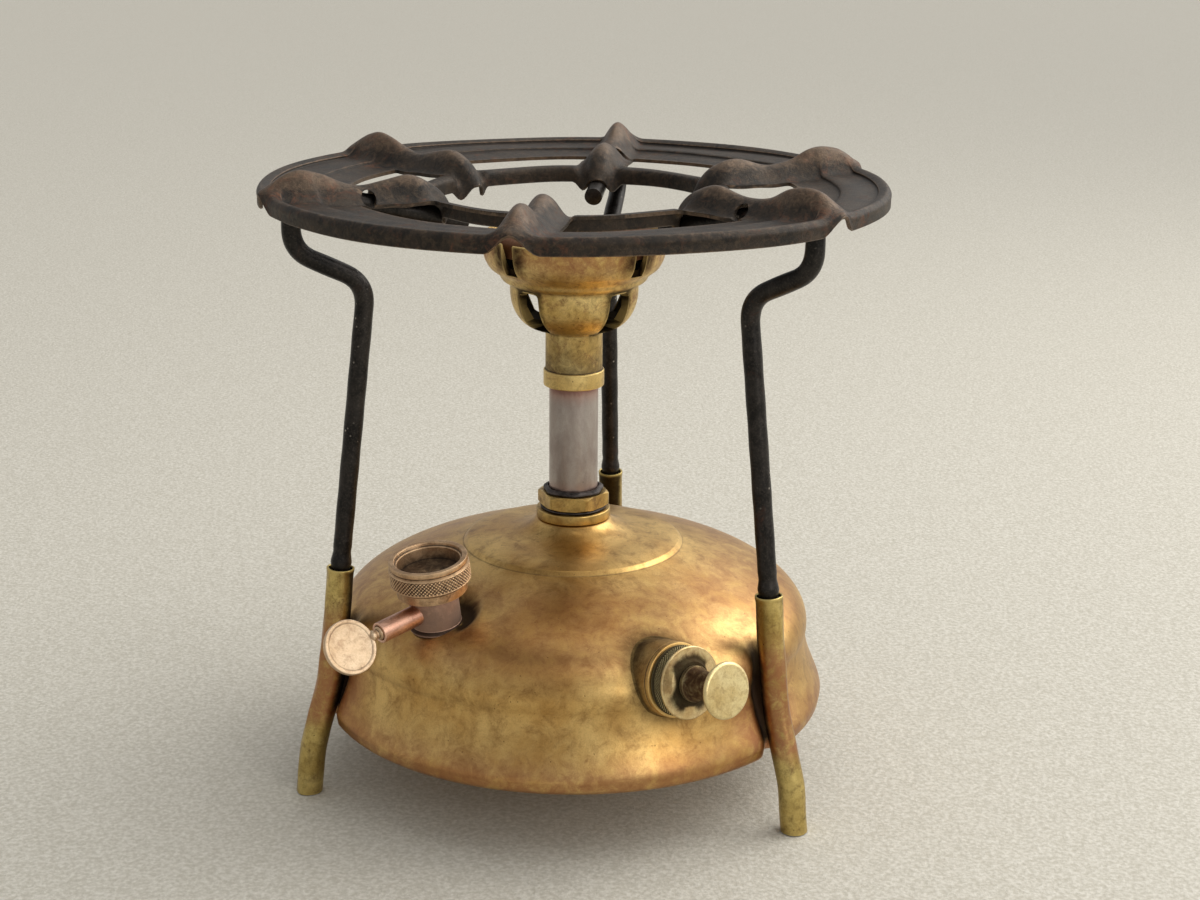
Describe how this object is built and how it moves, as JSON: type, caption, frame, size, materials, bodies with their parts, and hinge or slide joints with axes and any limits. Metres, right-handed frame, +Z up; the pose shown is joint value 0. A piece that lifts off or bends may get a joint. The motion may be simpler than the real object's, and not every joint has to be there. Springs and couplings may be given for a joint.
{
  "type": "camping stove",
  "caption": "Brass paraffin pressure stove: domed tank with a hand pump and screw filler, a silent burner on a riser, and a ridged pot ring on bent-rod legs.",
  "frame": {"origin": "on the ground, on the common axis of the tank, the riser and the burner", "axes": "+Z up along the riser; the filler and the pump face -Y, the filler on the -X side and the pump on the +X side"},
  "size_m": [0.21, 0.21, 0.2155],
  "materials": {
    "aged_brass": "satin golden-brown brass with brown and copper-pink patina",
    "yellow_brass": "satin yellow brass, stained in the corners",
    "burner_brass": "heat-mottled yellow brass with red-brown stains",
    "leg_brass": "brown-copper brass tube with yellow-green feet",
    "pale_brass": "pale polished brass with dark grime in the corners",
    "rosy_brass": "rosy copper-toned brass, worn bright on the edges",
    "cap_brass": "heat-tinted pinkish brass",
    "riser_steel": "silvery mauve-grey worn steel",
    "rod_steel": "black oxidised semi-gloss steel with pale specks",
    "ring_steel": "dark oxidised pressed steel with rust and worn edges",
    "lead": "dark soft sealing metal",
    "leather": "oiled brown leather",
    "rubber": "black rubber"
  },
  "bodies": {
    "stove": {"tank_shell": "aged_brass", "tank_base": "aged_brass", "pump_flange": "aged_brass", "riser_socket": "yellow_brass", "pickup_tube": "yellow_brass", "burner_nut": "yellow_brass", "burner_body": "burner_brass", "jet_nipple": "pale_brass", "burner_riser": "riser_steel", "riser_washer": "lead", "riser_seal_ring": "lead", "filler_neck": "rosy_brass", "pump_barrel": "yellow_brass", "check_valve_body": "yellow_brass", "check_valve_seat": "yellow_brass", "check_valve_spring": "riser_steel", "leg_tube_left": "leg_brass", "leg_rod_left": "rod_steel", "leg_tube_right": "leg_brass", "leg_rod_right": "rod_steel", "leg_tube_back": "leg_brass", "leg_rod_back": "rod_steel"},
    "pot_ring": {"pot_ring": "ring_steel"},
    "inner_cap": {"burner_inner_cap": "riser_steel"},
    "outer_cap": {"burner_outer_cap": "cap_brass"},
    "cap_washer": {"filler_cap_washer": "rubber"},
    "filler_cap": {"filler_cap": "rosy_brass"},
    "air_screw": {"air_screw": "pale_brass"},
    "pump_piston": {"pump_rod": "riser_steel", "pump_knob": "pale_brass", "pump_leather": "leather", "pump_piston_plate": "yellow_brass", "pump_piston_nut": "yellow_brass"},
    "pump_cap": {"pump_cap": "pale_brass"},
    "valve_pip": {"check_valve_pip": "rubber"}
  },
  "joints": [
    {"name": "pot_ring_lift", "type": "slide", "parent": "stove", "child": "pot_ring", "axis": [0, 0, 1], "range_m": [0, 0.03]},
    {"name": "inner_cap_lift", "type": "slide", "parent": "stove", "child": "inner_cap", "axis": [0, 0, 1], "range_m": [0, 0.03]},
    {"name": "outer_cap_lift", "type": "slide", "parent": "inner_cap", "child": "outer_cap", "axis": [0, 0, 1], "range_m": [0, 0.03]},
    {"name": "filler_cap_lift", "type": "slide", "parent": "stove", "child": "cap_washer", "axis": [-0.1024, -0.1137, 0.9882], "range_m": [0, 0.02]},
    {"name": "filler_cap_turn", "type": "hinge", "parent": "cap_washer", "child": "filler_cap", "pos_m": [-0.04483, -0.04979, 0.0693], "axis": [-0.1024, -0.1137, 0.9882], "range_deg": [0, 1080]},
    {"name": "air_screw_turn", "type": "hinge", "parent": "stove", "child": "air_screw", "pos_m": [-0.04543, -0.05045, 0.07503], "axis": [-0.7353, -0.6604, -0.1521], "range_deg": [0, 720]},
    {"name": "pump_stroke", "type": "slide", "parent": "stove", "child": "pump_piston", "axis": [0.5908, -0.784, 0.1908], "range_m": [0, 0.06]},
    {"name": "pump_cap_turn", "type": "hinge", "parent": "stove", "child": "pump_cap", "pos_m": [0.0375, -0.0818, 0.0615], "axis": [0.5908, -0.784, 0.1908], "range_deg": [0, 1080]},
    {"name": "check_valve_open", "type": "slide", "parent": "stove", "child": "valve_pip", "axis": [-0.5908, 0.784, -0.1908], "range_m": [0, 0.0012], "stiffness_N_per_m": 60, "springref_m": -0.002, "deforming": ["check_valve_spring"]}
  ]
}
